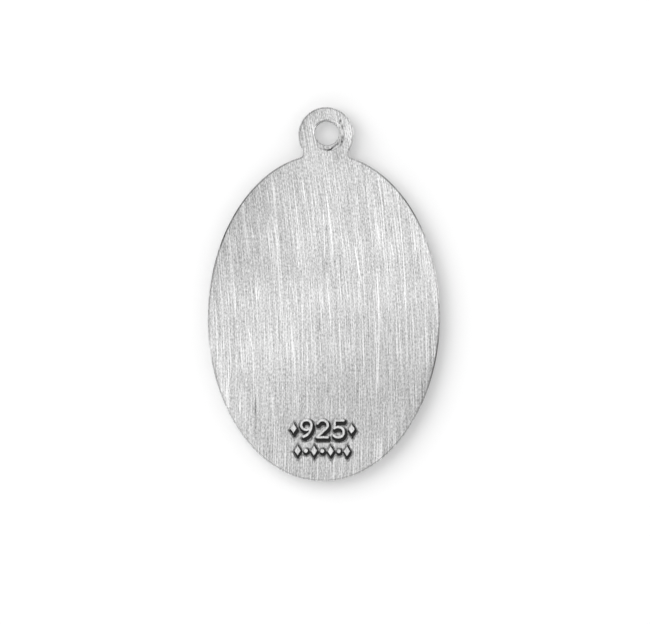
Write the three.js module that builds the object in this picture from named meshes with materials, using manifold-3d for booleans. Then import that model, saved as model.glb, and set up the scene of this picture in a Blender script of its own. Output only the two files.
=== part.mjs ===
// An oval silver medal with a round ear at its top. It lies on its front: the
// brushed back with a small struck mark faces up (+Z), and the front, with its
// raised rim and cross, faces down. +Y points to the ear.
import * as THREE from 'three';
import { mergeVertices } from 'three/addons/utils/BufferGeometryUtils.js';
import Module from 'manifold-3d';

// Driving dimensions, in millimetres
const OVAL_WIDTH = 17.5;
const OVAL_HEIGHT = 24.7;
const THICKNESS = 1.4;
const EDGE_ROUND = 0.1; // radius of the worn outer edge

const EAR_RADIUS = 2.1;
const EAR_CENTRE_RISE = 1.4; // from the oval's top to the ear's centre
const NECK_INSET = 0.33; // how far each side of the neck lies inside the ear's
const NECK_FILLET = 0.16;

// The hole was drilled from the back at a slant, so its mouth there is wider
// and lies lower and to the right of where it comes out.
const HOLE_RADIUS = 0.91;
const HOLE_SHIFT = new THREE.Vector2(0.05, 0.13); // from the ear's centre
const MOUTH_FLARE = 0.22; // how much wider the hole is at its mouth
const MOUTH_SHIFT = new THREE.Vector2(0.17, -0.02);

const RIM_WIDTH = 0.85;
const RIM_SLOPE = 0.25; // how far the rim's inner wall leans
const FIELD_DEPTH = 0.32;

const CROSS_HEIGHT = 14.2;
const CROSS_SPAN = 9.2;
const CROSS_BAR_DROP = 4.9; // from the cross's top to its bar's middle
const CROSS_WAIST = 1.5; // width of the arms where they meet
const CROSS_END = 2.5; // width of the arms at their ends
const CROSS_INSET = 0.08; // how far the cross's face lies behind the rim's
const CROSS_SLOPE = 0.3;

const MARK_DEPTH = 0.2;
const MARK_WALL_SLOPE = 0.08;
const MARK_MARGIN = 0.24; // sunken ground round each raised figure
const STROKE_WIDTH = 0.17;
const FIGURE_HEIGHT = 1.45;
const FIGURE_WIDTH = 0.95;
const FIGURE_PITCH = 1.22;
const FIGURES_RISE = 3.25; // from the oval's lowest point to the figures' foot
const UPPER_LOOP = 0.58; // half height of the loop of 9 and 2, as a share of the figure's
const LOWER_BOWL = 0.62; // half height of the bowl of 5, as a share of the figure's
const LOZENGE_WIDTH = 0.46;
const LOZENGE_HEIGHT = 0.72;
const BEAD_RADIUS = 0.15;
const ORNAMENT_PITCH = 0.62; // between the lozenges and beads of the lower row
const ORNAMENT_COUNT = 7;
const ORNAMENTS_RISE = 2.3; // from the oval's lowest point to the row's middle
const SIDE_GAP = 0.26; // between the figures and the lozenge on each side

// Fineness of the facets
const OVAL_STEPS = 132;
const EAR_STEPS = 44;
const HOLE_STEPS = 36;
const BEND_STEPS = 12;
const STROKE_STEPS = 14;
const OVERSHOOT = 0.5; // how far a cutting tool stands clear of the metal

const OVAL_A = OVAL_WIDTH / 2;
const OVAL_B = OVAL_HEIGHT / 2;
const EAR_Y = OVAL_B + EAR_CENTRE_RISE;
const MOUTH_RADIUS = HOLE_RADIUS + MOUTH_FLARE;
const CROSS_RELIEF = FIELD_DEPTH - CROSS_INSET;
const LENGTH = OVAL_HEIGHT + EAR_CENTRE_RISE + EAR_RADIUS;

const wasm = await Module();
wasm.setup();

// A closed three.js geometry as a solid that can be cut and joined
function solid(geometry) {
  const bare = geometry.clone();
  bare.deleteAttribute('normal');
  bare.deleteAttribute('uv');
  const merged = mergeVertices(bare, 1e-5);
  return new wasm.Manifold(new wasm.Mesh({
    numProp: 3,
    vertProperties: merged.attributes.position.array,
    triVerts: new Uint32Array(merged.index.array),
  }));
}

// A solid as a three.js geometry
function geometryOf(made) {
  const mesh = made.getMesh();
  const geometry = new THREE.BufferGeometry();
  geometry.setAttribute('position', new THREE.BufferAttribute(mesh.vertProperties, 3));
  geometry.setIndex(new THREE.BufferAttribute(mesh.triVerts, 1));
  geometry.computeVertexNormals();
  return geometry;
}

function joined(solids) {
  return solids.reduce((sum, next) => sum.add(next));
}

// Points along part of an ellipse, both ends included, angles in radians
function arc(x, y, radiusX, radiusY, from, to, steps) {
  return new THREE.EllipseCurve(x, y, radiusX, radiusY, from, to, to < from).getPoints(steps);
}

function bend(from, corner, to) {
  return new THREE.QuadraticBezierCurve(from, corner, to).getPoints(BEND_STEPS);
}

// The outline of the oval with its neck and ear, anticlockwise
function outline() {
  const half = EAR_RADIUS - NECK_INSET;
  const ovalAngle = Math.acos(half / OVAL_A);
  const corner = new THREE.Vector2(half, OVAL_B * Math.sin(ovalAngle));
  const above = new THREE.Vector2(half, corner.y + NECK_FILLET);
  const turn = NECK_FILLET / OVAL_A;
  const beside = new THREE.Vector2(
    OVAL_A * Math.cos(ovalAngle - turn),
    OVAL_B * Math.sin(ovalAngle - turn),
  );
  const earAngle = Math.acos(half / EAR_RADIUS);
  const mirror = (points) => points.map((p) => new THREE.Vector2(-p.x, p.y)).reverse();
  const rightNeck = bend(beside, corner, above);
  return [
    ...rightNeck,
    ...arc(0, EAR_Y, EAR_RADIUS, EAR_RADIUS, -earAngle, Math.PI + earAngle, EAR_STEPS),
    ...mirror(rightNeck),
    ...arc(0, 0, OVAL_A, OVAL_B, Math.PI - ovalAngle + turn, 2 * Math.PI + ovalAngle - turn,
      OVAL_STEPS).slice(1, -1),
  ];
}

// The blank: the outline at full thickness, with both outer edges rounded
function blank() {
  return solid(new THREE.ExtrudeGeometry(new THREE.Shape(outline()), {
    depth: THICKNESS - 2 * EDGE_ROUND,
    bevelThickness: EDGE_ROUND,
    bevelSize: EDGE_ROUND,
    bevelOffset: -EDGE_ROUND,
    bevelSegments: 2,
  }).translate(0, 0, EDGE_ROUND));
}

// The slanting, tapering hole through the ear
function earHole() {
  const height = THICKNESS + 2 * OVERSHOOT;
  const perMillimetre = 1 / THICKNESS;
  const flare = MOUTH_FLARE * perMillimetre;
  const lean = MOUTH_SHIFT.clone().sub(HOLE_SHIFT).multiplyScalar(perMillimetre);
  const cone = new THREE.CylinderGeometry(
    MOUTH_RADIUS + flare * OVERSHOOT,
    HOLE_RADIUS - flare * OVERSHOOT,
    height,
    HOLE_STEPS,
  );
  cone.rotateX(Math.PI / 2).translate(0, 0, THICKNESS / 2);
  const shear = new THREE.Matrix4().set(
    1, 0, lean.x, HOLE_SHIFT.x,
    0, 1, lean.y, HOLE_SHIFT.y + EAR_Y,
    0, 0, 1, 0,
    0, 0, 0, 1,
  );
  return solid(cone.applyMatrix4(shear));
}

// What is cut from the front inside the rim
function fieldPocket() {
  const steepness = RIM_SLOPE / FIELD_DEPTH;
  const mouthA = OVAL_A - RIM_WIDTH;
  const floorA = mouthA - RIM_SLOPE;
  const height = FIELD_DEPTH + OVERSHOOT;
  const outerA = mouthA + steepness * OVERSHOOT;
  const pocket = new THREE.CylinderGeometry(floorA, outerA, height, OVAL_STEPS);
  pocket.rotateX(Math.PI / 2).translate(0, 0, FIELD_DEPTH - height / 2);
  return solid(pocket.scale(1, (OVAL_B - RIM_WIDTH) / mouthA, 1));
}

// A bar along Z from low to high with tapered ends: each end face is the shape
// itself, and the walls lean out by slope over the first and last height
function taperedBar(shape, slope, height, x, y, low, high) {
  return solid(new THREE.ExtrudeGeometry(shape, {
    depth: high - low - 2 * height,
    bevelThickness: height,
    bevelSize: slope,
    bevelSegments: 1,
  }).translate(x, y, low + height));
}

// The Latin cross on the front, with arms that widen to their ends
function cross() {
  const waist = CROSS_WAIST / 2 - CROSS_SLOPE;
  const end = CROSS_END / 2 - CROSS_SLOPE;
  const side = CROSS_SPAN / 2 - CROSS_SLOPE;
  const top = CROSS_BAR_DROP - CROSS_SLOPE;
  const foot = CROSS_BAR_DROP - CROSS_HEIGHT + CROSS_SLOPE;
  const points = [
    [end, top], [waist, waist], [side, end], [side, -end], [waist, -waist], [end, foot],
    [-end, foot], [-waist, -waist], [-side, -end], [-side, end], [-waist, waist], [-end, top],
  ].map(([x, y]) => new THREE.Vector2(x, y));
  const barY = CROSS_HEIGHT / 2 - CROSS_BAR_DROP;
  return taperedBar(new THREE.Shape(points.reverse()), CROSS_SLOPE, CROSS_RELIEF, 0, barY,
    CROSS_INSET, CROSS_INSET + 3 * CROSS_RELIEF);
}

// A stroke of a figure: its middle line, its width and round ends
function strokeShape(line, width) {
  const radius = width / 2;
  const last = line.length - 1;
  const along = (i) => line[Math.min(i + 1, last)].clone()
    .sub(line[Math.max(i - 1, 0)]).normalize();
  const beside = (i, side) => {
    const direction = along(i);
    return new THREE.Vector2(line[i].x - direction.y * side, line[i].y + direction.x * side);
  };
  const cap = (centre, direction) => {
    const start = direction.angle() - Math.PI / 2;
    return arc(centre.x, centre.y, radius, radius, start, start + Math.PI, 6).slice(1, -1);
  };
  return new THREE.Shape([
    ...line.map((_, i) => beside(i, -radius)),
    ...cap(line[last], along(last)),
    ...line.map((_, i) => beside(last - i, radius)),
    ...cap(line[0], along(0).negate()),
  ]);
}

// An arc that is one stroke of a figure, its angles in degrees
function strokeArc(x, y, radiusX, radiusY, from, to) {
  const radians = THREE.MathUtils.degToRad;
  return arc(x, y, radiusX, radiusY, radians(from), radians(to), STROKE_STEPS);
}

// The middle lines of the figures 9, 2 and 5, each about its own middle
function figureLines() {
  const x = (FIGURE_WIDTH - STROKE_WIDTH) / 2;
  const y = (FIGURE_HEIGHT - STROKE_WIDTH) / 2;
  const point = (shareX, shareY) => new THREE.Vector2(shareX * x, shareY * y);
  const loopRadius = UPPER_LOOP * y;
  const loopY = y - loopRadius;
  const bowlRadius = LOWER_BOWL * y;
  const nine = [
    strokeArc(0, loopY, x, loopRadius, 0, 180),
    strokeArc(0, loopY, x, loopRadius, 180, 360),
    strokeArc(-x, loopY, 2 * x, loopY + y, 0, -76),
  ];
  const two = [
    [...strokeArc(0, loopY, x, loopRadius, 160, -28), point(-1, -1)],
    [point(-1, -1), point(1, -1)],
  ];
  const five = [
    [point(0.85, 1), point(-0.75, 1)],
    [point(-0.75, 1), point(-0.85, 0.12)],
    strokeArc(-0.1 * x, bowlRadius - y, 1.1 * x, bowlRadius, 133, -140),
  ];
  return [nine, two, five];
}

// A lozenge, or the oval of sunken ground round one
function lozengeShape(margin) {
  const x = LOZENGE_WIDTH / 2 + margin;
  const y = LOZENGE_HEIGHT / 2 + margin;
  const corners = margin > 0 ? STROKE_STEPS : 4;
  return new THREE.Shape(arc(0, 0, x, y, 0, 2 * Math.PI, corners).slice(1));
}

function beadShape(margin) {
  const radius = BEAD_RADIUS + margin;
  return new THREE.Shape(arc(0, 0, radius, radius, 0, 2 * Math.PI, STROKE_STEPS).slice(1));
}

// Every shape of the mark with its place, grown all round by a margin
function markShapes(margin) {
  const figuresY = -OVAL_B + FIGURES_RISE + FIGURE_HEIGHT / 2;
  const figures = figureLines().flatMap((strokes, i) => strokes.map((line) => ({
    shape: strokeShape(line, STROKE_WIDTH + 2 * margin),
    x: (i - 1) * FIGURE_PITCH,
    y: figuresY,
  })));
  const sideX = FIGURE_PITCH + FIGURE_WIDTH / 2 + SIDE_GAP + LOZENGE_WIDTH / 2;
  const sides = [-sideX, sideX].map((x) => ({ shape: lozengeShape(margin), x, y: figuresY }));
  const row = Array.from({ length: ORNAMENT_COUNT }, (_, i) => ({
    shape: i % 2 ? beadShape(margin) : lozengeShape(margin),
    x: (i - (ORNAMENT_COUNT - 1) / 2) * ORNAMENT_PITCH,
    y: -OVAL_B + ORNAMENTS_RISE,
  }));
  return [...figures, ...sides, ...row];
}

// The sunken ground of the mark, as what is cut from the back
function markGround() {
  return joined(markShapes(MARK_MARGIN - MARK_WALL_SLOPE).map(({ shape, x, y }) => {
    return taperedBar(shape, MARK_WALL_SLOPE, MARK_DEPTH, x, y,
      THICKNESS - MARK_DEPTH, THICKNESS + MARK_DEPTH + OVERSHOOT);
  }));
}

// The raised figures and ornaments, level with the back
function markFigures() {
  return joined(markShapes(0).map(({ shape, x, y }) => {
    return taperedBar(shape, MARK_WALL_SLOPE, MARK_DEPTH, x, y,
      THICKNESS - 3 * MARK_DEPTH, THICKNESS);
  }));
}

const silver = new THREE.MeshStandardMaterial({ color: 0xcfcfcf, roughness: 0.42, metalness: 1 });

const medal = new THREE.Mesh(
  geometryOf(
    blank()
      .subtract(earHole())
      .subtract(fieldPocket())
      .add(cross())
      .subtract(markGround())
      .add(markFigures()),
  ),
  silver,
);
medal.name = 'medal';
medal.position.y = OVAL_B - LENGTH / 2; // the origin is under the middle of the length

const pendant = new THREE.Group();
pendant.add(medal);

export default pendant;
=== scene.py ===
"""Looks of an oval silver medal that lies face down on a pale floor.

The brushed back, with a small struck mark, faces up. The raised rim and the
cross of the front face the floor. Sizes are in millimetres until the mesh is
made, and places are in the row frame: +Y points to the ear and +Z is up.
"""
import math

import bpy
import numpy as np
from mathutils.geometry import delaunay_2d_cdt
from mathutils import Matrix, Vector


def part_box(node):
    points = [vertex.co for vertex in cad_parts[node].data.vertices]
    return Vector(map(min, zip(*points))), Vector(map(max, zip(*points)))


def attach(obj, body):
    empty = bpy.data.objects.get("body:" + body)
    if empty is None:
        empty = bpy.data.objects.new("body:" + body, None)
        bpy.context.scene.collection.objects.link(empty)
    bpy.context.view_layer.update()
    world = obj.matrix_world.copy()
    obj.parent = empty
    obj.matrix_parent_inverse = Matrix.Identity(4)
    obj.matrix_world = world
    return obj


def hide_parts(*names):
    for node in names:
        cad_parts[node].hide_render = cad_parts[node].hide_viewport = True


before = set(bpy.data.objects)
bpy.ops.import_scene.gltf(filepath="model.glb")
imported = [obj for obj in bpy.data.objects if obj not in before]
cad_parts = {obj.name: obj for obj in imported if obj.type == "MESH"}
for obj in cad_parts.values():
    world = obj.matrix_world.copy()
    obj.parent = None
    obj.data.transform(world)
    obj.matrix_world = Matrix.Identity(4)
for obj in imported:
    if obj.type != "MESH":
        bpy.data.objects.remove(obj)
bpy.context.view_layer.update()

MM = 0.001
low, high = (np.array(corner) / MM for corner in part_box("medal"))
WIDTH, LENGTH, THICKNESS = high - low

# The outline
EAR_RADIUS = 2.1
EAR_RISE = 1.4
NECK_INSET = 0.33
NECK_FILLET = 0.16
EDGE_ROUND = 0.1
OVAL_A = WIDTH / 2
OVAL_B = (LENGTH - EAR_RISE - EAR_RADIUS) / 2
OVAL_Y = low[1] + OVAL_B
EAR_Y = high[1] - EAR_RADIUS

# The slanting hole, its places measured from the ear's centre
HOLE_RADIUS = 0.91
HOLE_SHIFT = np.array([0.05, 0.13])
MOUTH_RADIUS = 1.13
MOUTH_SHIFT = np.array([0.17, -0.02])
HOLE_LIP = 0.06
STEP_DEPTH = 0.1  # of the short steep wall at the mouth's lower right
LEDGE_DEPTH = 0.06  # how far the worn ledge inside the mouth falls towards the through hole

# The front
RIM_WIDTH = 0.85
RIM_SLOPE = 0.25
FIELD_DEPTH = 0.32
CROSS_HEIGHT = 14.2
CROSS_SPAN = 9.2
CROSS_BAR_DROP = 4.9
CROSS_WAIST = 1.5
CROSS_END = 2.5
CROSS_RELIEF = 0.24
CROSS_SLOPE = 0.3
SEAM_REACH = 0.35  # how far the dark in the field's corners reaches over it
CROWN = 0.012  # how far the rim's two sides stand over the floor that its middle touches

# The mark on the back
MARK_DEPTH = 0.2
MARK_WALL = 0.07
MARK_REACH = 0.3  # how far the sunken ground goes out from a figure
# The black in the sunken ground, partly oxide and partly painted shadow, lies below and to the
# right too
MARK_SLIP = np.array([0.075, -0.165])  # the ground lies deeper below and to the right
LOWER_SLIP = 0.65  # the lower row's share of that
STROKE_WIDTH = 0.17
FIGURE_HEIGHT = 1.45
FIGURE_WIDTH = 0.95
FIGURE_PITCH = 1.22
FIGURES_RISE = 3.25
UPPER_LOOP = 0.58
LOWER_BOWL = 0.62
LOZENGE_WIDTH = 0.46
LOZENGE_HEIGHT = 0.72
BEAD_RADIUS = 0.15
ORNAMENT_PITCH = 0.62
ORNAMENT_COUNT = 7
ORNAMENTS_RISE = 2.3
SIDE_GAP = 0.26
MARK_SPLIT = OVAL_Y - OVAL_B + FIGURES_RISE - 0.3  # between the figures and the lower row

# Fineness of the mesh
OVAL_STEPS = 560
EAR_STEPS = 104
HOLE_STEPS = 192
RIM_STEPS = 480
ARC_STEPS = 16
ROUND_STEPS = 5
LIP_STEPS = 3
COARSE = 0.34
EAR_GRID = 0.035
MARK_GRID = 0.028
CROSS_GRID = 0.065
CROSS_MARGIN = 1.0
MARK_MARGIN = 0.12
SCRATCH_CELL = 0.015  # two points of the scratches never share a cell of this size
# How far the points inside a face keep from its outer loop and its hole
EDGE_GUARD = 0.035
HOLE_GUARD = 0.03
EAR_CLEAR = 0.06
ROW_CLEAR = 0.1
COARSE_CLEAR = 0.2


def smooth(value, start, end):
    """0 before start and 1 past end, with a soft change between them."""
    share = np.clip((value - start) / (end - start), 0, 1)
    return share * share * (3 - 2 * share)


def wander(points, cell, seed):
    """Soft random values from -1 to 1 that change over about one cell."""
    side = 64
    lattice = np.random.default_rng(seed).uniform(-1, 1, (side, side))
    place = points / cell + side / 2
    corner = np.floor(place).astype(int)
    part = smooth(place - corner, 0, 1)
    x, y = corner.T
    rows = [
        lattice[(x + i) % side, (y + j) % side]
        * abs(1 - i - part[:, 0])
        * abs(1 - j - part[:, 1])
        for i in (0, 1)
        for j in (0, 1)
    ]
    return sum(rows)


def arc(x, y, radius_x, radius_y, start, end, steps):
    turn = np.linspace(start, end, steps + 1)
    return np.column_stack([x + radius_x * np.cos(turn), y + radius_y * np.sin(turn)])


def circle(centre, radius, steps):
    return arc(*centre, radius, radius, 0, 2 * np.pi, steps)[:-1]


def outline():
    """The medal's outline, anticlockwise as seen from the back."""
    half = EAR_RADIUS - NECK_INSET
    angle = math.acos(half / OVAL_A)
    turn = NECK_FILLET / OVAL_A
    corner = np.array([half, OVAL_Y + OVAL_B * math.sin(angle)])
    beside = arc(0, OVAL_Y, OVAL_A, OVAL_B, angle - turn, angle - turn, 0)[0]
    above = corner + (0, NECK_FILLET)
    along = np.linspace(0, 1, ARC_STEPS // 2)[:, None]
    fillet = (1 - along) ** 2 * beside + 2 * along * (1 - along) * corner + along**2 * above
    ear_angle = math.acos(half / EAR_RADIUS)
    ear = arc(0, EAR_Y, EAR_RADIUS, EAR_RADIUS, -ear_angle, np.pi + ear_angle, EAR_STEPS)
    start, end = np.pi - angle + turn, 2 * np.pi + angle - turn
    oval = arc(0, OVAL_Y, OVAL_A, OVAL_B, start, end, OVAL_STEPS)
    return np.vstack([fillet, ear, fillet[::-1] * (-1, 1), oval[1:-1]])


def outward(loop):
    """The outward unit normal at each point of an anticlockwise loop."""
    along = np.roll(loop, -1, axis=0) - np.roll(loop, 1, axis=0)
    across = np.column_stack([along[:, 1], -along[:, 0]])
    return across / np.linalg.norm(across, axis=1)[:, None]


def inside(points, loop):
    """Which points lie inside a closed loop."""
    x, y = points.T
    found = np.zeros(len(points), bool)
    for (x0, y0), (x1, y1) in zip(loop, np.roll(loop, -1, axis=0)):
        crosses = (y0 > y) != (y1 > y)
        if y0 != y1:
            found ^= crosses & (x < x0 + (y - y0) * (x1 - x0) / (y1 - y0))
    return found


def line_distance(points, line):
    """Each point's distance to an open line of points."""
    nearest = np.full(len(points), np.inf)
    for start, end in zip(line[:-1], line[1:]):
        way = end - start
        share = np.clip((points - start) @ way / (way @ way), 0, 1)
        gap = np.linalg.norm(points - start - share[:, None] * way, axis=1)
        nearest = np.minimum(nearest, gap)
    return nearest


def rim_distance(points):
    """How far each point lies inside the oval's edge."""
    place = points - (0, OVAL_Y)
    share = np.linalg.norm(place / (OVAL_A, OVAL_B), axis=1)
    steep = np.linalg.norm(place / (OVAL_A**2, OVAL_B**2), axis=1)
    return share * (1 - share) / np.maximum(steep, 1e-6)


def grid(x0, x1, y0, y1, step):
    """Points of a triangular grid over a box."""
    row_step = step * math.sqrt(3) / 2
    x, y = np.meshgrid(np.arange(x0, x1, step), np.arange(y0, y1, row_step))
    x[1::2] += step / 2
    return np.column_stack([x.ravel(), y.ravel()])


# The mark

def figure_lines():
    """The middle lines of the figures 9, 2 and 5, each about its own middle."""
    x = (FIGURE_WIDTH - STROKE_WIDTH) / 2
    y = (FIGURE_HEIGHT - STROKE_WIDTH) / 2
    loop = UPPER_LOOP * y
    bowl = LOWER_BOWL * y

    def stroke(cx, cy, rx, ry, start, end):
        return arc(cx, cy, rx, ry, math.radians(start), math.radians(end), ARC_STEPS)

    nine = [
        stroke(0, y - loop, x, loop, 0, 360),
        stroke(-x, y - loop, 2 * x, 2 * y - loop, 0, -76),
    ]
    two = [
        np.vstack([stroke(0, y - loop, x, loop, 160, -28), [(-x, -y)]]),
        np.array([(-x, -y), (x, -y)]),
    ]
    five = [
        np.array([(0.85 * x, y), (-0.75 * x, y), (-0.85 * x, 0.12 * y)]),
        stroke(-0.1 * x, bowl - y, 1.1 * x, bowl, 133, -140),
    ]
    return [nine, two, five]


def mark_distance(points):
    """Each point's distance to the nearest figure, lozenge or bead, less than 0 inside one."""
    figures_y = OVAL_Y - OVAL_B + FIGURES_RISE + FIGURE_HEIGHT / 2
    row_y = OVAL_Y - OVAL_B + ORNAMENTS_RISE
    side_x = FIGURE_PITCH + FIGURE_WIDTH / 2 + SIDE_GAP + LOZENGE_WIDTH / 2
    nearest = np.full(len(points), np.inf)
    for i, strokes in enumerate(figure_lines()):
        for line in strokes:
            placed = line + ((i - 1) * FIGURE_PITCH, figures_y)
            nearest = np.minimum(nearest, line_distance(points, placed) - STROKE_WIDTH / 2)
    lozenges = [(-side_x, figures_y), (side_x, figures_y)]
    for i in range(ORNAMENT_COUNT):
        place = ((i - (ORNAMENT_COUNT - 1) / 2) * ORNAMENT_PITCH, row_y)
        if i % 2:
            nearest = np.minimum(nearest, np.linalg.norm(points - place, axis=1) - BEAD_RADIUS)
        else:
            lozenges.append(place)
    half = np.array([LOZENGE_WIDTH, LOZENGE_HEIGHT]) / 2
    slant = half.prod() / np.linalg.norm(half)
    for place in lozenges:
        edge = (np.abs(points - place) / half).sum(axis=1) - 1
        nearest = np.minimum(nearest, edge * slant)
    return nearest


def mark_box(margin):
    """The mark's extent, grown by a margin on each side."""
    x = FIGURE_PITCH + FIGURE_WIDTH / 2 + SIDE_GAP + LOZENGE_WIDTH + margin
    bottom = OVAL_Y - OVAL_B + ORNAMENTS_RISE - LOZENGE_HEIGHT / 2 - margin
    top = OVAL_Y - OVAL_B + FIGURES_RISE + FIGURE_HEIGHT + margin
    return -x, x, bottom, top


def ear_box():
    """The extent of the ear, of the neck and of a little of the oval under them."""
    return -EAR_RADIUS, EAR_RADIUS, EAR_Y - 1.6 * EAR_RISE, EAR_Y + EAR_RADIUS


def within(points, box):
    x, y = points.T
    return (x > box[0]) & (x < box[1]) & (y > box[2]) & (y < box[3])


# Scratches in the back: where each starts and ends, from the oval's centre, how
# far its middle bows to the right, and how bright it is
LONG_SCRATCHES = [
    {"start": (-4.08, 7.82), "end": (-3.52, 5.27), "bow": 0.03, "light": 1.0},
    {"start": (-2.36, 8.59), "end": (-1.91, 3.1), "bow": 0.05, "light": 0.7},
    {"start": (2.2, 5.71), "end": (2.68, 3.0), "bow": 0.0, "light": 1.0},
    {"start": (2.44, 4.36), "end": (2.84, 2.49), "bow": 0.0, "light": 0.9},
    {"start": (3.87, 4.08), "end": (3.98, -6.1), "bow": 0.24, "light": 1.7},
    {"start": (-0.17, 8.25), "end": (0.03, 4.1), "bow": 0.02, "light": 0.9},
    {"start": (0.35, 2.3), "end": (0.57, -3.04), "bow": 0.03, "light": 0.8},
    {"start": (-6.88, 2.82), "end": (-6.63, 0.48), "bow": 0.03, "light": 0.9},
    {"start": (-5.7, -0.8), "end": (-5.3, -2.6), "bow": 0.0, "light": 1.0},
    {"start": (-5.3, -2.4), "end": (-5.22, -4.6), "bow": 0.0, "light": 0.7},
    {"start": (-5.14, 2.31), "end": (-5.05, 1.18), "bow": 0.0, "light": 0.9},
    {"start": (-5.57, 6.74), "end": (-5.34, 5.92), "bow": 0.0, "light": 0.8},
    {"start": (-7.28, -4.79), "end": (-7.26, -6.22), "bow": 0.0, "light": 0.9},
    {"start": (-6.31, -6.52), "end": (-6.23, -7.1), "bow": 0.0, "light": 0.9},
    {"start": (-1.66, 2.35), "end": (-1.57, -4.58), "bow": 0.0, "light": 0.7},
    {"start": (-3.53, 0.67), "end": (-3.46, -4.45), "bow": 0.0, "light": 0.6},
    {"start": (4.95, 5.75), "end": (5.28, 4.39), "bow": 0.0, "light": 0.8},
    {"start": (-5.07, -5.9), "end": (-4.97, -9.7), "bow": 0.0, "light": -0.9},
]
SHORT_SCRATCHES = 60
SCRATCH_HALF = 0.045
# The brush strokes' lean where y is 0, in radians, and how much it grows in
# each millimetre up the medal
LEAN_THERE = 0.075
LEAN_GROWTH = 0.0087
SCRATCH_STEP = 0.15
SCRATCH_CLEAR = 0.17  # no other mesh point lies this near a scratch, so that it stays thin


def scratches():
    """All scratches: the long ones, and short ones at random places along the brush strokes."""
    draw = np.random.default_rng(11)
    found = list(LONG_SCRATCHES)
    for _ in range(SHORT_SCRATCHES):
        angle = draw.uniform(0, 2 * np.pi)
        reach = 0.9 * math.sqrt(draw.uniform(0, 1))
        middle = reach * np.array([OVAL_A * math.cos(angle), OVAL_B * math.sin(angle)])
        length = draw.uniform(0.8, 3.2)
        lean = LEAN_THERE + LEAN_GROWTH * (middle[1] + OVAL_Y) + draw.normal(0, 0.03)
        way = np.array([math.sin(lean), -math.cos(lean)]) * length / 2
        found.append({
            "start": middle - way,
            "end": middle + way,
            "bow": draw.normal(0, 0.02),
            "light": draw.uniform(0.15, 0.5),
        })
    return found


def scratch_line(scratch, steps):
    start, end = np.array(scratch["start"]), np.array(scratch["end"])
    along = np.linspace(0, 1, steps + 1)[:, None]
    side = np.array([scratch["bow"], 0]) * 4 * along * (1 - along)
    return start + along * (end - start) + side + (0, OVAL_Y)


def scratch_points(all_scratches):
    """Rows of mesh points along each scratch."""
    found = []
    for scratch in all_scratches:
        length = math.dist(scratch["start"], scratch["end"])
        line = scratch_line(scratch, max(3, round(length / SCRATCH_STEP)))
        for share in (-1.3, -0.7, 0, 0.7, 1.3):
            found.append(line + (share * SCRATCH_HALF, 0))
    return np.vstack(found)


def off_scratches(points, all_scratches):
    """Which points lie clear of every scratch."""
    kept = np.ones(len(points), bool)
    for scratch in all_scratches:
        kept &= line_distance(points, scratch_line(scratch, 12)) > SCRATCH_CLEAR
    return kept


def scratch_light(points, all_scratches):
    """How bright the scratches make each point."""
    light = np.zeros(len(points))
    for scratch in all_scratches:
        line = scratch_line(scratch, 12)
        low_corner = line.min(axis=0) - 0.2
        high_corner = line.max(axis=0) + 0.2
        near = np.flatnonzero(((points > low_corner) & (points < high_corner)).all(axis=1))
        if not len(near):
            continue
        gap = line_distance(points[near], line) / SCRATCH_HALF
        profile = np.clip(1 - gap**2, 0, 1)
        along = (points[near, 1] - line[-1, 1]) / (line[0, 1] - line[-1, 1])
        profile *= smooth(np.minimum(along, 1 - along), 0, 0.15)
        light[near] += profile * scratch["light"]
    return light


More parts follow.
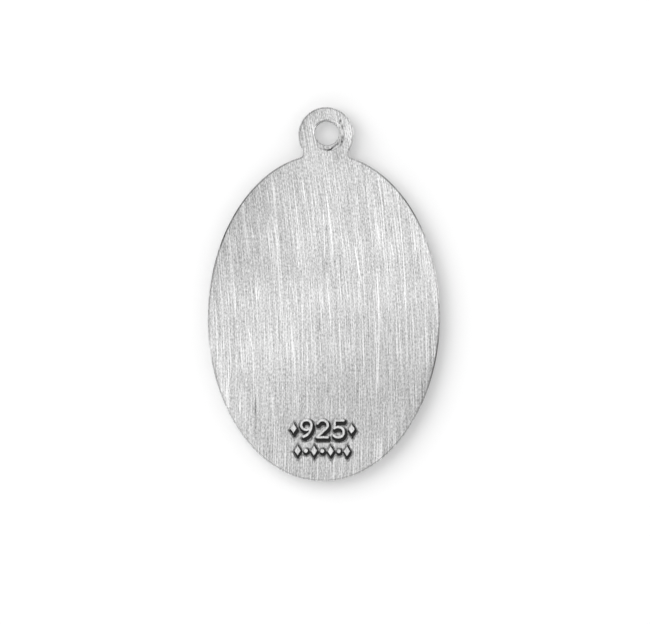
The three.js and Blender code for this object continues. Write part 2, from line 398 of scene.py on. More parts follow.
# Dents round the hole and on the ear, with painted shade and painted highlights, from the ear's
# centre
EAR_DENTS_AND_PAINTED_LIGHT = [
    # The first four darken the ear's left and upper left with painted shade
    {"place": (-2.05, 0.45), "reach": (0.62, 1.15), "depth": 0.03, "stain_and_painted_shade": 0.36},
    {"place": (-1.1, 1.75), "reach": (0.7, 0.35), "depth": 0.01, "stain_and_painted_shade": 0.2},
    {"place": (-1.36, 1.25), "reach": (0.3, 0.25), "depth": 0.0, "stain_and_painted_shade": 0.3},
    {"place": (-1.85, 0.8), "reach": (0.25, 0.4), "depth": 0.0, "stain_and_painted_shade": 0.45},
    {"place": (0.93, 1.35), "reach": (0.12, 0.12), "depth": 0.0, "stain_and_painted_shade": 0.4},
    {"place": (0.9, 1.8), "reach": (0.4, 0.35), "depth": 0.01, "stain_and_painted_shade": 0.16},
    {"place": (1.05, 1.05), "reach": (0.065, 0.15), "depth": 0.05, "stain_and_painted_shade": 1.0},
    {"place": (1.21, 0.65), "reach": (0.055, 0.18), "depth": 0.05, "stain_and_painted_shade": 1.0},
    {"place": (1.24, -0.17), "reach": (0.1, 0.15), "depth": 0.05, "stain_and_painted_shade": 0.7},
    {"place": (1.19, -0.49), "reach": (0.09, 0.14), "depth": 0.06, "stain_and_painted_shade": 1.0},
    {"place": (1.14, -0.73), "reach": (0.065, 0.07), "depth": 0.05, "stain_and_painted_shade": 0.85},
    {"place": (0.89, -0.65), "reach": (0.08, 0.12), "depth": 0.05, "stain_and_painted_shade": 0.8},
    {"place": (0.6, -0.9), "reach": (0.12, 0.07), "depth": 0.02, "stain_and_painted_shade": 0.5},
    {"place": (0.87, -0.6), "reach": (0.17, 0.19), "depth": 0.0, "stain_and_painted_shade": 0.3},
    {"place": (1.24, -0.28), "reach": (0.15, 0.22), "depth": 0.0, "stain_and_painted_shade": 0.3},
    {"place": (0.95, -1.45), "reach": (0.32, 0.6), "depth": 0.02, "stain_and_painted_shade": 0.28},
    # The last five are painted highlights: a bright arc in the hole's left side, bright patches on
    # the ear's right, and a faint one below the ear
    {"place": (-0.93, 0.4), "reach": (0.07, 0.28), "depth": 0.0, "shine": 1.1},
    {"place": (1.5, 0.15), "reach": (0.22, 0.45), "depth": 0.0, "shine": 0.3},
    {"place": (1.25, 1.0), "reach": (0.1, 0.3), "depth": 0.0, "shine": 0.3},
    {"place": (1.95, 0.3), "reach": (0.45, 0.6), "depth": 0.0, "shine": 0.3},
    {"place": (-0.8, -2.4), "reach": (1.2, 0.9), "depth": 0.0, "shine": 0.12},
]


def dents_and_painted_light(points):
    """(how deep the dents are at each point, how darkened by stain and painted shade, and how
    bright with painted highlights).
    """
    depth, stain_and_painted_shade, shine = np.zeros((3, len(points)))
    for dent in EAR_DENTS_AND_PAINTED_LIGHT:
        away = (points - (0, EAR_Y) - dent["place"]) / dent["reach"]
        share = np.exp(-(away**2).sum(axis=1))
        depth += dent["depth"] * share
        stain_and_painted_shade = np.maximum(stain_and_painted_shade, dent.get("stain_and_painted_shade", 0) * share)
        shine = np.maximum(shine, dent.get("shine", 0) * share)
    return depth, stain_and_painted_shade, shine


# Painted shade in the back's rounded edge, which darkens the outline more at some angles: the angle
# from the oval's centre that each part is about, how far it reaches to either side, and how dark it
# is
EDGE_PAINTED_SHADE = [
    {"toward": 54, "spread": 24, "stain_and_painted_shade": 0.7},
    {"toward": 67, "spread": 15, "stain_and_painted_shade": 0.45},
    {"toward": 112, "spread": 14, "stain_and_painted_shade": 0.4},
    {"toward": 136, "spread": 42, "stain_and_painted_shade": 0.8},
    {"toward": 342, "spread": 34, "stain_and_painted_shade": 0.75},
    {"toward": 208, "spread": 24, "stain_and_painted_shade": 0.25},
]
# Painted light and shade on the back's face just inside its edge, by angle as above: where it is
# brighter, and where it is duller, which is less than 0
EDGE_PAINTED_LIGHT = [
    {"toward": 28, "spread": 42, "light": 0.22},
    {"toward": 137, "spread": 34, "light": -0.2},
    {"toward": 226, "spread": 26, "light": 0.14},
    {"toward": 326, "spread": 46, "light": -0.24},
]
EDGE_LIGHT_START = 0.3  # from the edge
EDGE_LIGHT_END = 0.95


def angle_share(points, part):
    """1 at the middle of a part round the oval, falling to 0 where its spread ends."""
    around = np.degrees(np.arctan2(points[:, 1] - OVAL_Y, points[:, 0]))
    away = np.abs((around - part["toward"] + 180) % 360 - 180)
    return 1 - smooth(away, 0, part["spread"])


BURR = 0.012  # how far the figures' edges stand up over their middles
TOP_LIGHT = 0.42  # how bright the figures' tops are, counted as scratches are
MARK_EXTENT = 0.4  # how far beyond its ground the mark is worked out


def mark_surface(points):
    """(how deep the mark lies at each point, how black it is with oxide and painted shadow, and how
    bright).
    """
    rough = 0.014 * wander(points, 0.1, 6) + 0.006 * wander(points, 0.05, 7)
    gap = mark_distance(points) + rough
    row_share = smooth(points[:, 1], MARK_SPLIT - 0.08, MARK_SPLIT + 0.08)
    slip = (LOWER_SLIP + (1 - LOWER_SLIP) * row_share)[:, None] * MARK_SLIP
    slipped = mark_distance(points - slip) + 2 * rough
    ground = 1 - smooth(slipped, 0.02, MARK_REACH)
    wall = smooth(gap, -0.02, MARK_WALL)
    depth = MARK_DEPTH * ground * wall - BURR * (1 - wall) * smooth(gap, -0.09, -0.03)
    # Oxide in the sunken ground, with painted shadow heaped below and to the right of each figure
    blotch = 0.45 + 0.3 * wander(points, 0.12, 14)
    oxide_and_painted_shadow = 1 - (1 - blotch) * smooth(slipped, 0.07, 0.15) - blotch * smooth(slipped, 0.16, 0.25)
    return depth, smooth(gap, -0.01, 0.03) * oxide_and_painted_shadow, TOP_LIGHT * (1 - smooth(gap, -0.03, 0.0))


def back_surface(points, all_scratches):
    """The back's height over the floor, its tarnish and painted shade, and its scratches and
    painted light, at each point.
    """
    uneven = 0.004 * wander(points, 2.6, 3) + 0.0015 * wander(points, 0.9, 4)
    dent, stain_and_painted_shade, shine = dents_and_painted_light(points)
    height = THICKNESS + uneven - dent
    tarnish = stain_and_painted_shade * (0.75 + 0.25 * wander(points, 0.08, 5))
    scratch = scratch_light(points, all_scratches) + shine
    inward = rim_distance(points)
    band = (inward > 0) * (1 - smooth(inward, EDGE_LIGHT_START, EDGE_LIGHT_END))
    # Painted light and shade near the edge: brighter to the upper right and lower left, duller to
    # the upper left and lower right
    for weight in EDGE_PAINTED_LIGHT:
        scratch += weight["light"] * band * angle_share(points, weight)

    near = np.flatnonzero(within(points, mark_box(MARK_REACH + MARK_EXTENT)))
    depth, oxide_and_painted_shadow, bright = mark_surface(points[near])
    height[near] -= depth
    tarnish[near] = np.maximum(tarnish[near], oxide_and_painted_shadow)
    scratch[near] *= 1 - smooth(tarnish[near], 0, 0.3)
    scratch[near] += bright
    return height, np.clip(tarnish, 0, 1), scratch


# The front

def cross_outline():
    waist, end = CROSS_WAIST / 2, CROSS_END / 2
    side = CROSS_SPAN / 2
    top, foot = CROSS_BAR_DROP, CROSS_BAR_DROP - CROSS_HEIGHT
    right = [(end, top), (waist, waist), (side, end), (side, -end), (waist, -waist), (end, foot)]
    left = [(-x, y) for x, y in reversed(right)]
    bar_y = OVAL_Y + CROSS_HEIGHT / 2 - CROSS_BAR_DROP
    return np.array(right + left) + (0, bar_y)


def cross_distance(points):
    """Each point's distance to the cross's outline, less than 0 inside it."""
    loop = cross_outline()
    gap = line_distance(points, np.vstack([loop, loop[:1]]))
    return np.where(inside(points, loop), -gap, gap)


def front_surface(points):
    """The front's height over the floor, its tarnish, grain and shine, at each point."""
    inward = rim_distance(points)
    gap = cross_distance(points)
    field = smooth(inward, RIM_WIDTH, RIM_WIDTH + RIM_SLOPE)
    cross = 1 - smooth(gap, -CROSS_SLOPE, 0)
    crown = CROWN * (2 * np.clip(inward / RIM_WIDTH, 0, 1) - 1) ** 2
    height = np.where(inward > RIM_WIDTH, FIELD_DEPTH * field + CROWN * (1 - field), crown)
    height -= CROSS_RELIEF * cross * field
    height[inward < 0] = CROWN
    foot = np.minimum(np.abs(inward - RIM_WIDTH - RIM_SLOPE), np.abs(gap))
    seam = field * (1 - smooth(foot, 0.05, SEAM_REACH))
    low_ground = field * (1 - cross)
    patchy = 1 + 0.3 * wander(points, 0.7, 15) + 0.2 * wander(points, 0.2, 16)
    tarnish = np.clip((0.5 * seam**1.5 + 0.17) * patchy, 0, 1) * low_ground
    on_cross = cross * (1 - smooth(gap, -CROSS_SLOPE, -0.6 * CROSS_SLOPE))
    shine = 0.3 * (on_cross + (inward < RIM_WIDTH))
    return height, tarnish, low_ground, shine


# The mesh

def triangulate(loops, inner):
    """Triangles over the first loop less the others, by points: the loops' first, then inner."""
    points = np.vstack(loops + [inner])
    edges = []
    first = 0
    for loop in loops:
        count = len(loop)
        edges += [(first + i, first + (i + 1) % count) for i in range(count)]
        first += count
    _, _, faces, sources, _, _ = delaunay_2d_cdt(points.tolist(), edges, [], 0, 1e-7)
    source = np.array([ids[0] for ids in sources])
    triangles = source[np.array(faces)]
    middles = points[triangles].mean(axis=1)
    kept = inside(middles, loops[0])
    for loop in loops[1:]:
        kept &= ~inside(middles, loop)
    return points, triangles[kept]


def clear_of(points, loops, gap):
    """The points that lie inside the first loop, outside the others and gap away from all."""
    kept = inside(points, loops[0])
    for loop in loops[1:]:
        kept &= ~inside(points, loop)
    points = points[kept]
    closest = np.full(len(points), np.inf)
    for loop in loops:
        closest = np.minimum(closest, line_distance(points, np.vstack([loop, loop[:1]])))
    return points[closest > gap]


def spaced(points, step):
    """The points without those that share a cell of the given size with an earlier one."""
    _, kept = np.unique(np.round(points / step), axis=0, return_index=True)
    return points[np.sort(kept)]


def strip(rings):
    """Quads between rings of vertex numbers."""
    faces = []
    for above, below in zip(rings[:-1], rings[1:]):
        faces += list(zip(above, np.roll(above, -1), np.roll(below, -1), below))
    return faces


class Skin:
    """The points of the medal's surface, what is painted on each, and its faces."""

    def __init__(self):
        self.places = []
        self.paint = {"tarnish": [], "scratch": [], "grain": []}
        self.faces = []
        self.count = 0

    def add(self, points, height, **paint):
        """Adds points at a height, or at one each, with their paint. Returns their numbers."""
        self.places.append(np.column_stack([points, np.broadcast_to(height, len(points))]))
        for name, values in self.paint.items():
            values.append(np.broadcast_to(paint.get(name, 0.0), len(points)))
        self.count += len(points)
        return np.arange(self.count - len(points), self.count)

    def heights(self, numbers):
        return np.vstack(self.places)[numbers, 2]

    def mesh(self, name):
        mesh = bpy.data.meshes.new(name)
        faces = [[int(number) for number in face] for face in self.faces]
        mesh.from_pydata((np.vstack(self.places) * MM).tolist(), [], faces)
        mesh.update()
        mesh.shade_smooth()
        for layer_name, values in self.paint.items():
            layer = mesh.attributes.new(layer_name, "FLOAT", "POINT")
            layer.data.foreach_set("value", np.concatenate(values).astype(np.float32))
        return mesh


# The directions from the hole's middle to the points of each ring round it, and
# how uneven the mouth is in each
HOLE_WAYS = circle((0, 0), 1, HOLE_STEPS)
JAGGED = 0.03 * wander(4 * HOLE_WAYS, 1.1, 8) + 0.012 * wander(12 * HOLE_WAYS, 1.1, 9)


def hole_ring(share, grow):
    """The ring at a share of the way in from the hole's mouth, grown by some millimetres."""
    centre = (0, EAR_Y) + MOUTH_SHIFT + share * (HOLE_SHIFT - MOUTH_SHIFT)
    radius = MOUTH_RADIUS + share * (HOLE_RADIUS - MOUTH_RADIUS)
    weight = 1 + JAGGED * (1 - 0.7 * share)
    return centre + HOLE_WAYS * (radius * weight + grow)[:, None]


def face_loops(edge, hole_share):
    """A face's outer loop and its hole's, and a ring of points just inside the face by each."""
    normals = outward(edge)
    loops = [edge - EDGE_ROUND * normals, hole_ring(hole_share, HOLE_LIP)]
    guards = [
        edge - (EDGE_ROUND + EDGE_GUARD) * normals,
        hole_ring(hole_share, HOLE_LIP + HOLE_GUARD),
    ]
    return loops, guards


def split_loops(numbers, edge):
    """The numbers of a face's outer loop and of its hole's, which come first."""
    return numbers[:len(edge)], numbers[len(edge):len(edge) + HOLE_STEPS]


def add_back(skin, edge):
    """The brushed back. Returns the numbers of its outer loop and of the hole's mouth."""
    loops, guards = face_loops(edge, 0)
    all_scratches = scratches()
    mark = mark_box(MARK_REACH + MARK_MARGIN)
    ear = ear_box()
    coarse = grid(low[0], high[0], low[1], high[1], COARSE)
    coarse = coarse[~within(coarse, mark) & ~within(coarse, ear)]
    coarse = coarse[off_scratches(coarse, all_scratches)]
    rows = spaced(scratch_points(all_scratches), SCRATCH_CELL)
    rows = rows[~within(rows, mark) & ~within(rows, ear)]
    inner = np.vstack([
        *guards,
        clear_of(coarse, loops, COARSE_CLEAR),
        clear_of(rows, loops, ROW_CLEAR),
        clear_of(grid(*ear, EAR_GRID), loops, EAR_CLEAR),
        grid(*mark, MARK_GRID),
    ])
    points, faces = triangulate(loops, inner)
    height, tarnish, scratch = back_surface(points, all_scratches)
    numbers = skin.add(points, height, tarnish=tarnish, scratch=scratch)
    skin.faces += numbers[faces].tolist()
    return split_loops(numbers, edge)


def add_front(skin, edge):
    """The front, with its rim and cross. Returns the numbers of its two loops."""
    loops, guards = face_loops(edge, 1)
    insets = RIM_WIDTH + RIM_SLOPE * np.linspace(-0.1, 1.1, 9)
    insets = np.append(insets, insets[-1] + SEAM_REACH * np.linspace(0.25, 1, 4))
    rim = np.vstack([
        arc(0, OVAL_Y, OVAL_A - inset, OVAL_B - inset, 0, 2 * np.pi, RIM_STEPS)[:-1]
        for inset in insets
    ])
    reach = CROSS_SPAN / 2 + CROSS_MARGIN
    near_cross = grid(-reach, reach, OVAL_Y - OVAL_B, OVAL_Y + OVAL_B, CROSS_GRID)
    gap = cross_distance(near_cross)
    near_cross = near_cross[(gap > -CROSS_SLOPE - 0.12) & (gap < SEAM_REACH + 0.05)]
    coarse = grid(low[0], high[0], low[1], high[1], COARSE)
    inward = rim_distance(coarse)
    coarse = coarse[(inward < insets[0] - 0.15) | (inward > insets[-1] + 0.15)]
    gap = cross_distance(coarse)
    coarse = coarse[(gap < -CROSS_SLOPE - 0.2) | (gap > SEAM_REACH + 0.15)]
    inner = np.vstack([
        *guards,
        clear_of(coarse, loops, COARSE_CLEAR),
        clear_of(rim, loops, ROW_CLEAR),
        near_cross,
    ])
    points, faces = triangulate(loops, inner)
    height, tarnish, grain, shine = front_surface(points)
    numbers = skin.add(points, height, tarnish=tarnish, scratch=shine, grain=grain)
    skin.faces += numbers[faces[:, ::-1]].tolist()
    return split_loops(numbers, edge)


def quarter(steps, radius):
    """(turn, how far in, how far down) at each step over a rounded edge, from its flat side."""
    turns = np.linspace(0, np.pi / 2, steps + 1)
    return [(turn, radius * (1 - math.sin(turn)), radius * (1 - math.cos(turn))) for turn in turns]


SIDE_SHARES = (0.33, 0.67)  # of the thickness down, where the side's rings lie


def add_edge(skin, edge, back_loop, front_loop):
    """The outer edge, rounded on both sides."""
    normals = outward(edge)
    # Painted shade darkens the outline more at some angles
    painted_shade = np.zeros(len(edge))
    for dark in EDGE_PAINTED_SHADE:
        painted_shade = np.maximum(painted_shade, dark["stain_and_painted_shade"] * angle_share(edge, dark))
    painted_shade *= 1 + 0.25 * wander(edge, 0.5, 12)
    ear_turn = np.degrees(np.arctan2(edge[:, 1] - EAR_Y, edge[:, 0]))
    # A painted highlight brightens the ear's edge towards the upper right
    painted_highlight = 0.35 * (edge[:, 1] > EAR_Y - EAR_RISE) * (1 - smooth(np.abs(ear_turn - 20), 10, 45))
    top, bottom = skin.heights(back_loop), skin.heights(front_loop)
    rings = [back_loop]
    for turn, inset, drop in quarter(ROUND_STEPS, EDGE_ROUND)[1:]:
        # The painted shade and the painted highlight fade where the round turns down to the side
        weight = 1 - 0.7 * smooth(turn, 1.2, 1.5)
        points = edge - inset * normals
        rings.append(skin.add(points, top - drop, tarnish=painted_shade * weight, scratch=painted_highlight * weight))
    for share in SIDE_SHARES:
        rings.append(skin.add(edge, THICKNESS * (1 - share)))
    for _, inset, rise in quarter(ROUND_STEPS, EDGE_ROUND)[:0:-1]:
        rings.append(skin.add(edge - inset * normals, bottom + rise))
    rings.append(front_loop)
    skin.faces += strip(rings)


# Parts of the hole's wall by angle, in degrees round its middle: where each
# starts, where it is full, where it starts to end and where it has ended
WALL_PARTS = {
    # The two bright parts take painted highlights, and the dark lip takes painted shade
    "stepped": {"start": 225, "full": 278, "ebb": 320, "end": 345},
    "bright_right": {"start": 36, "full": 46, "ebb": 68, "end": 78},
    "bright_left": {"start": 140, "full": 150, "ebb": 178, "end": 192},
    "dark_lip": {"start": 50, "full": 75, "ebb": 150, "end": 166},
}
# Where the rings of the ledge lie, as shares of the way in, and how far under the
# back those of the straight hole lie
LEDGE_SHARES = (0.06, 0.12, 0.18, 0.24, 0.3, 0.38, 0.46, 0.55, 0.65, 0.76, 0.88, 1.0)
WALL_DROPS = (0.5, 0.8, 1.1)


def wall_part(angle, name):
    part = WALL_PARTS[name]
    rise = smooth(angle, part["start"], part["full"])
    return rise * (1 - smooth(angle, part["ebb"], part["end"]))


def add_hole(skin, back_loop, front_loop):
    """The hole's wall: a worn ledge with painted highlights and a short step darkened by painted
    shade, then the straight hole, whose lip is darkened by painted shade.
    """
    top, bottom = skin.heights(back_loop), skin.heights(front_loop)
    angle = np.degrees(np.arctan2(HOLE_WAYS[:, 1], HOLE_WAYS[:, 0])) % 360
    stepped = wall_part(angle, "stepped")
    left = wall_part(angle, "bright_left")
    right = wall_part(angle, "bright_right")
    fading = 0.3 * smooth(angle, 280, 296) + 0.7 * smooth(angle, 310, 330)
    # Painted shade darkens the short step, less towards its end
    dark_step = smooth(angle, 248, 270) * (1 - fading)
    step_at = 0.12 + 0.36 * smooth(angle, 278, 300)
    pitted = wander(6 * HOLE_WAYS, 0.5, 10)
    patchy = wander(HOLE_WAYS, 0.35, 13)
    rings = [back_loop]
    for share in LEDGE_SHARES:
        ring = hole_ring(share, HOLE_LIP)
        dent, dent_stain_and_painted_shade, _ = dents_and_painted_light(ring)
        fall = STEP_DEPTH * stepped * smooth(share, step_at, step_at + 0.18)
        fall += LEDGE_DEPTH * share**1.5 * (1 - left)
        fall += 0.09 * share * (1 - share) * pitted + 0.5 * dent * (1 - share)
        on_step = smooth(share, step_at - 0.04, step_at + 0.04)
        on_step -= smooth(share, step_at + 0.2, step_at + 0.38)
        stain_and_painted_shade = np.maximum(dark_step * on_step * (0.85 + 0.3 * pitted), dent_stain_and_painted_shade)
        # Painted highlights on the ledge's left, and on its right near the mouth
        shine = np.maximum(left, right * (1 - smooth(share, 0.3, 0.55)))
        rings.append(skin.add(ring, top - fall, tarnish=np.clip(stain_and_painted_shade, 0, 1), scratch=shine))
    ledge = top - fall
    # Painted shade darkens the lip into the straight hole, most round its upper part and a little
    # all round, as at the hole's foot
    dark_lip = wall_part(angle, "dark_lip") * (0.6 + 0.5 * patchy + 0.2 * pitted)
    for turn, inset, drop in quarter(LIP_STEPS, HOLE_LIP)[1:]:
        stain_and_painted_shade = np.clip(0.1 + dark_lip * smooth(turn, 0.2, 1.2), 0, 1)
        rings.append(skin.add(hole_ring(1, inset), ledge - drop, tarnish=stain_and_painted_shade))
    for drop in WALL_DROPS:
        rings.append(skin.add(hole_ring(1, 0), top - drop))
    for _, inset, rise in quarter(LIP_STEPS, HOLE_LIP)[:0:-1]:
        rings.append(skin.add(hole_ring(1, inset), bottom + rise, tarnish=0.1))
    rings.append(front_loop)
    skin.faces += [face[::-1] for face in strip(rings)]


def build_medal():
    skin = Skin()
    edge = outline()
    back_edge, mouth = add_back(skin, edge)
    front_edge, hole_foot = add_front(skin, edge)
    add_edge(skin, edge, back_edge, front_edge)
    add_hole(skin, mouth, hole_foot)
    piece = bpy.data.objects.new("medal_silver", skin.mesh("medal_silver"))
    bpy.context.scene.collection.objects.link(piece)
    return piece


# The materials

class Nodes:
    """Adds shader nodes to a tree, with values or links on their inputs."""

    def __init__(self, tree):
        self.tree = tree
        tree.nodes.clear()

    def add(self, kind, inputs=None, output=0, **settings):
        node = self.tree.nodes.new("ShaderNode" + kind)
        for name, value in settings.items():
            setattr(node, name, value)
        for key, value in (inputs or {}).items():
            if isinstance(value, bpy.types.NodeSocket):
                self.tree.links.new(value, node.inputs[key])
            else:
                node.inputs[key].default_value = value
        return node.outputs[output] if node.outputs else node

    def math(self, operation, *values, clamp=False):
        return self.add("Math", dict(enumerate(values)), operation=operation, use_clamp=clamp)

    def noise(self, place, size, lean=0.0, shift=0.0, detail=0.0):
        """Soft noise from 0 to 1 in cells of the given size, turned by lean degrees."""
        cell = self.add(
            "Mapping",
            {
                "Vector": place,
                "Location": (shift, shift, shift),
                "Rotation": (0, 0, math.radians(lean)),
                "Scale": [side * MM for side in size],
            },
            vector_type="TEXTURE",
        )
        inputs = {"Vector": cell, "Scale": 1.0, "Detail": detail, "Roughness": 0.6}
        return self.add("TexNoise", inputs)

    def mix(self, share, first, second):
        return self.add("Mix", {0: share, 6: first, 7: second}, output=2, data_type="RGBA")

    def mix_value(self, share, first, second):
        return self.add("Mix", {0: share, 2: first, 3: second}, output=0, data_type="FLOAT")


def grey(level):
    return (level, level, level, 1)


# The brushing: each layer's cell across and along the brush in millimetres, how
# far it leans from the other strokes in degrees, and how much it counts
BRUSH = [
    {"across": 0.085, "along": 0.2, "lean": 0.0, "share": 0.78},
    {"across": 0.055, "along": 0.8, "lean": -1.0, "share": 0.42},
    {"across": 0.055, "along": 2.4, "lean": 1.5, "share": 0.34},
    {"across": 0.06, "along": 8.0, "lean": 0.0, "share": 0.15},
    {"across": 0.9, "along": 3.0, "lean": 0.0, "share": 0.05},
]
# Thin lines, of which few show, painted glints, and painted shade where less than 0: the noise
# values at which one starts to show and shows in full, and how bright it is, or how dark if less
# than 0
LINES = [
    {"across": 0.05, "along": 9.0, "lean": 0.0, "from": 0.64, "to": 0.78, "light": 0.38},
    {"across": 0.05, "along": 4.0, "lean": 1.5, "from": 0.64, "to": 0.78, "light": 0.38},
    {"across": 0.05, "along": 18.0, "lean": -1.0, "from": 0.65, "to": 0.78, "light": 0.32},
    {"across": 0.06, "along": 5.0, "lean": -1.5, "from": 0.66, "to": 0.78, "light": -0.16},
]
ENDLESS = 1000.0  # the cells' size down through the metal
BRUSH_SHIFT = 0.013  # in metres, from each layer to the next
LINE_SHIFT = 0.017
LINES_START = 0.1
# The fine grooves of the filed sides, the pits of the front's field, and the
# patches that break up the tarnish and the painted shade
FILED_CELL = (2.0, 2.0, 0.05)
FILED_CONTRAST = 0.5
PIT_CELL = (0.11, 0.11, 0.11)
PIT_CONTRAST = 0.9
TARNISH_AND_SHADE_CELL = (0.09, 0.09, 0.09)
TARNISH_AND_SHADE_BREAK = 0.5
TARNISH_AND_SHADE_GAIN = 1.1
# The metal's brightness, its roughness, and what changes them
SILVER = 0.588
BRUSH_CONTRAST = 1.17
SCRATCH_LIGHT = 0.4
OXIDE_AND_SHADE = 0.012
ROUGHNESS = 0.36
BRUSH_ROUGHNESS = 0.25
SCRATCH_ROUGHNESS = -0.08
TARNISH_AND_SHADE_ROUGHNESS = 0.75
BUMP_HEIGHT = 0.02
# How far a normal points up where the brushing starts, and where it is full
FLAT_FROM = 0.3
FLAT_TO = 0.7


def swept_place(nodes, place):
    """Object coordinates unbent, so that a leaning brush stroke keeps one x."""
    x, y, z = (nodes.add("SeparateXYZ", {0: place}, output=axis) for axis in range(3))
    bend = nodes.math("MULTIPLY_ADD", y, LEAN_GROWTH / 2 / MM, LEAN_THERE)
    return nodes.add("CombineXYZ", {0: nodes.math("MULTIPLY_ADD", bend, y, x), 1: y, 2: z})


def brushing(nodes, swept):
    """How much brighter or darker than its middle the brushing is."""
    brush = 0.0
    for number, layer in enumerate(BRUSH):
        size = (layer["across"], layer["along"], ENDLESS)
        value = nodes.noise(swept, size, layer["lean"], BRUSH_SHIFT * number, detail=1.0)
        centred = nodes.math("SUBTRACT", value, 0.5)
        brush = nodes.math("MULTIPLY_ADD", centred, layer["share"], brush)
    return brush


def thin_lines(nodes, swept):
    """How much brighter or darker the thin lines, painted glints and painted shade, make the
    brushing.
    """
    lines = 0.0
    for number, layer in enumerate(LINES):
        size = (layer["across"], layer["along"], ENDLESS)
        value = nodes.noise(swept, size, layer["lean"], LINES_START + LINE_SHIFT * number)
        shown = nodes.add("MapRange", {0: value, 1: layer["from"], 2: layer["to"]})
        lines = nodes.math("MULTIPLY_ADD", shown, layer["light"], lines)
    return lines


def unevenness(nodes, place, size, detail, contrast):
    """Soft noise about 0."""
    centred = nodes.math("SUBTRACT", nodes.noise(place, size, detail=detail), 0.5)
    return nodes.math("MULTIPLY", centred, contrast)


def tarnish_and_shade_share(nodes, place, tarnish):
    """How far the tarnish and painted shade hide the metal, in uneven patches."""
    broken = nodes.noise(place, TARNISH_AND_SHADE_CELL, detail=2.0)
    broken = nodes.math("MULTIPLY_ADD", broken, TARNISH_AND_SHADE_BREAK, -TARNISH_AND_SHADE_BREAK / 2)
    stain_and_painted_shade = nodes.math("MULTIPLY", tarnish, TARNISH_AND_SHADE_GAIN)
    return nodes.math("MULTIPLY_ADD", tarnish, broken, stain_and_painted_shade, clamp=True)


def silver_material():
    material = bpy.data.materials.new("silver")
    material.use_nodes = True
    nodes = Nodes(material.node_tree)
    place = nodes.add("TexCoord", output=3)
    normal = nodes.add("TexCoord", output=1)
    upright = nodes.math("ABSOLUTE", nodes.add("SeparateXYZ", {0: normal}, output=2))
    flat = nodes.add("MapRange", {0: upright, 1: FLAT_FROM, 2: FLAT_TO})
    tarnish = nodes.add("Attribute", output=2, attribute_name="tarnish")
    scratch = nodes.add("Attribute", output=2, attribute_name="scratch")
    grain = nodes.add("Attribute", output=2, attribute_name="grain")

    swept = swept_place(nodes, place)
    filed = unevenness(nodes, place, FILED_CELL, 1.0, FILED_CONTRAST)
    pits = unevenness(nodes, place, PIT_CELL, 2.0, PIT_CONTRAST)
    worked = nodes.mix_value(flat, filed, brushing(nodes, swept))
    worked = nodes.mix_value(grain, worked, pits)
    drawn = nodes.mix_value(flat, 0.0, thin_lines(nodes, swept))
    drawn = nodes.mix_value(grain, drawn, 0.0)

    level = nodes.math("MULTIPLY_ADD", worked, BRUSH_CONTRAST, SILVER)
    level = nodes.math("ADD", level, drawn)
    # Scratches and painted light brighten the metal, and dull it where less than 0
    level = nodes.math("MULTIPLY_ADD", scratch, SCRATCH_LIGHT, level)
    clean = nodes.add("CombineColor", {0: level, 1: level, 2: level})
    # Tarnish and painted shade both turn the metal to the dark oxide colour, rough and not metallic
    stain_and_painted_shade = tarnish_and_shade_share(nodes, place, tarnish)
    colour = nodes.mix(stain_and_painted_shade, clean, grey(OXIDE_AND_SHADE))

    rough = nodes.math("MULTIPLY_ADD", worked, BRUSH_ROUGHNESS, ROUGHNESS)
    rough = nodes.math("MULTIPLY_ADD", scratch, SCRATCH_ROUGHNESS, rough)
    rough = nodes.mix_value(stain_and_painted_shade, rough, TARNISH_AND_SHADE_ROUGHNESS)
    metallic = nodes.math("SUBTRACT", 1.0, stain_and_painted_shade)
    bump = nodes.add("Bump", {"Height": worked, "Distance": BUMP_HEIGHT * MM, "Strength": 1.0})
    metal = nodes.add(
        "BsdfPrincipled",
        {"Base Color": colour, "Metallic": metallic, "Roughness": rough, "Normal": bump},
    )
    nodes.add("OutputMaterial", {"Surface": metal})
    return material


FLOOR_WHITE = 0.9


def floor_material():
    material = bpy.data.materials.new("floor")
    material.use_nodes = True
    nodes = Nodes(material.node_tree)
    matt = nodes.add("BsdfDiffuse", {"Color": grey(FLOOR_WHITE), "Roughness": 0.0})
    nodes.add("OutputMaterial", {"Surface": matt})
    return material


# The studio

FLOOR_REACH = 1200.0
FLOOR_STEPS = 96
BACKDROP_HEIGHT = 1500.0
BACKDROP_LIGHT = 1.0
ZENITH = 0.9
HORIZON = 0.42
# Where the surround's lower part is brighter: the angle that each bright part
# is about, how far it reaches to either side, in degrees, and how bright it is
GLOWS = [
    {"toward": 232, "spread": 85, "light": 0.6},
    {"toward": 20, "spread": 24, "light": 0.8},
    {"toward": 92, "spread": 30, "light": 0.3},
]


def make_floor():
    mesh = bpy.data.meshes.new("floor")
    loop = circle((0, 0), FLOOR_REACH, FLOOR_STEPS) * MM
    mesh.from_pydata([(x, y, 0) for x, y in loop], [], [list(range(len(loop)))])
    floor = bpy.data.objects.new("floor", mesh)
    floor.data.materials.append(floor_material())
    bpy.context.scene.collection.objects.link(floor)


def make_backdrop():
    """A pale wall round the floor, which only the camera sees."""
    material = bpy.data.materials.new("backdrop")
    material.use_nodes = True
    nodes = Nodes(material.node_tree)
    glow = nodes.add("Emission", {"Color": grey(1), "Strength": BACKDROP_LIGHT})
    nodes.add("OutputMaterial", {"Surface": glow})
    loop = circle((0, 0), FLOOR_REACH, FLOOR_STEPS) * MM
    count = len(loop)
    places = [(x, y, z) for z in (0, BACKDROP_HEIGHT * MM) for x, y in loop]
    faces = [(i, (i + 1) % count, count + (i + 1) % count, count + i) for i in range(count)]
    mesh = bpy.data.meshes.new("backdrop")
    mesh.from_pydata(places, [], faces)
    mesh.materials.append(material)
    wall = bpy.data.objects.new("backdrop", mesh)
    bpy.context.scene.collection.objects.link(wall)
    wall.visible_diffuse = False
    wall.visible_glossy = False
    wall.visible_shadow = False


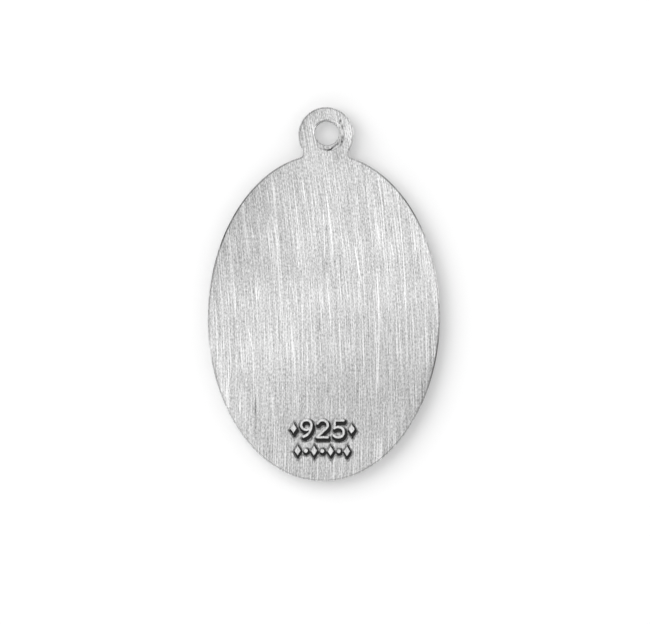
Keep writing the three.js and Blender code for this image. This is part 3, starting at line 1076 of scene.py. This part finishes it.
def make_sky():
    """A soft surround that is brighter overhead than at the sides."""
    world = bpy.data.worlds.new("studio")
    bpy.context.scene.world = world
    world.use_nodes = True
    nodes = Nodes(world.node_tree)
    direction = nodes.add("TexCoord", output=0)
    up = nodes.add("SeparateXYZ", {0: direction}, output=2)
    level_way = nodes.add("VectorMath", {0: direction, 1: (1, 1, 0)}, operation="MULTIPLY")
    level_way = nodes.add("VectorMath", {0: level_way}, operation="NORMALIZE")
    side = HORIZON
    for glow in GLOWS:
        turn = math.radians(glow["toward"])
        toward = (math.cos(turn), math.sin(turn), 0)
        ways = {0: level_way, 1: toward}
        facing = nodes.add("VectorMath", ways, output=1, operation="DOT_PRODUCT")
        edge = math.cos(math.radians(glow["spread"]))
        share = nodes.add("MapRange", {0: facing, 1: edge, 2: 1.0}, interpolation_type="SMOOTHSTEP")
        side = nodes.math("MULTIPLY_ADD", share, glow["light"], side)
    high_share = nodes.add("MapRange", {0: up, 1: 0.25, 2: 1.0}, interpolation_type="SMOOTHSTEP")
    level = nodes.mix_value(high_share, side, ZENITH)
    light = nodes.add("Background", {"Color": grey(1), "Strength": level})
    nodes.add("OutputWorld", {"Surface": light})


# Area lights, each unseen by the camera: the key from the upper left makes the
# shadow, and the two close overhead make the back's bright band, which runs from
# the lower left to the upper right. Angles are in degrees.
SOFTBOXES = [
    {
        "name": "key",
        "direction": 146,
        "elevation": 46,
        "distance": 4000,
        "size": (4000, 4000),
        "radiance": 1.95,
        "aim": (0, 0, 0),
        "shows_in": "diffuse",
    },
    {
        "name": "band",
        "direction": 26,
        "elevation": 89.9,
        "distance": 9,
        "size": (31, 9),
        "radiance": 0.25,
        "aim": (-14.9, OVAL_Y - 6.8, THICKNESS),
        "shows_in": "glossy",
    },
    {
        "name": "corner",
        "direction": 90,
        "elevation": 89.9,
        "distance": 9,
        "size": (17, 24),
        "radiance": 0.24,
        "aim": (9.3, OVAL_Y + 8.3, THICKNESS),
        "shows_in": "glossy",
    },
]


def add_softbox(name, direction, elevation, distance, size, radiance, aim, shows_in):
    """An area light at a direction, elevation and distance from the point that it is aimed at."""
    light = bpy.data.lights.new(name, "AREA")
    light.shape = "RECTANGLE"
    light.size, light.size_y = (side * MM for side in size)
    light.energy = radiance * math.pi * light.size * light.size_y
    softbox = bpy.data.objects.new(name, light)
    bpy.context.scene.collection.objects.link(softbox)
    turn, rise = math.radians(direction), math.radians(elevation)
    softbox.location = [
        MM * (aim[0] + distance * math.cos(rise) * math.cos(turn)),
        MM * (aim[1] + distance * math.cos(rise) * math.sin(turn)),
        MM * (aim[2] + distance * math.sin(rise)),
    ]
    softbox.rotation_euler = (0, math.pi / 2 - rise, turn)
    softbox.visible_camera = False
    softbox.visible_diffuse = shows_in == "diffuse"
    softbox.visible_glossy = shows_in == "glossy"


# Light that the medal's bright walls would throw on the floor beside them: the
# place from the ear's centre, how far it reaches, and its power in watts
BOUNCES = [
    {"name": "hole", "place": (-0.3, 0.43), "reach": 2.0, "power": 0.0082},
    {"name": "crook", "place": (1.97, -0.97), "reach": 1.45, "power": 0.0036},
]
BOUNCE_HEIGHT = 30.0
BOUNCE_SOFTNESS = 0.3


def add_bounce(name, place, reach, power):
    """A small soft spot of light from above that shows on the floor alone."""
    light = bpy.data.lights.new(name, "SPOT")
    light.energy = power
    light.shadow_soft_size = BOUNCE_SOFTNESS * MM
    light.spot_size = 2 * math.atan(reach / BOUNCE_HEIGHT)
    light.spot_blend = 1.0
    spot = bpy.data.objects.new(name, light)
    bpy.context.scene.collection.objects.link(spot)
    spot.location = (place[0] * MM, (EAR_Y + place[1]) * MM, BOUNCE_HEIGHT * MM)
    spot.visible_camera = False
    spot.visible_glossy = False


def make_lights():
    for softbox in SOFTBOXES:
        add_softbox(**softbox)
    for bounce in BOUNCES:
        add_bounce(**bounce)


# The camera

MM_PER_PIXEL = 0.0753
PICTURE = np.array([650, 624])
OVAL_PIXEL = np.array([323.9, 317.5])  # where the oval's centre lies in the picture
LEAN = 0.7  # degrees that the medal leans clockwise in the picture
CAMERA_HEIGHT = 450.0
SENSOR = 36.0


def make_camera():
    data = bpy.data.cameras.new("camera")
    data.sensor_width = SENSOR
    data.lens = SENSOR * CAMERA_HEIGHT / (MM_PER_PIXEL * PICTURE[0])
    data.clip_start = 0.01
    data.clip_end = 10.0
    camera = bpy.data.objects.new("camera", data)
    bpy.context.scene.collection.objects.link(camera)
    bpy.context.scene.camera = camera
    turn = math.radians(LEAN)
    right = np.array([math.cos(turn), math.sin(turn)])
    up = np.array([-math.sin(turn), math.cos(turn)])
    shift = (PICTURE / 2 - OVAL_PIXEL) * (1, -1) * MM_PER_PIXEL
    middle = np.array([0, OVAL_Y]) + shift[0] * right + shift[1] * up
    camera.location = (*(middle * MM), (THICKNESS + CAMERA_HEIGHT) * MM)
    camera.rotation_euler = (0, 0, turn)


make_camera()
medal = build_medal()
medal.data.materials.append(silver_material())
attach(medal, "root")
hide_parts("medal")
make_floor()
make_backdrop()
make_sky()
make_lights()
bpy.context.scene.view_settings.view_transform = "Standard"
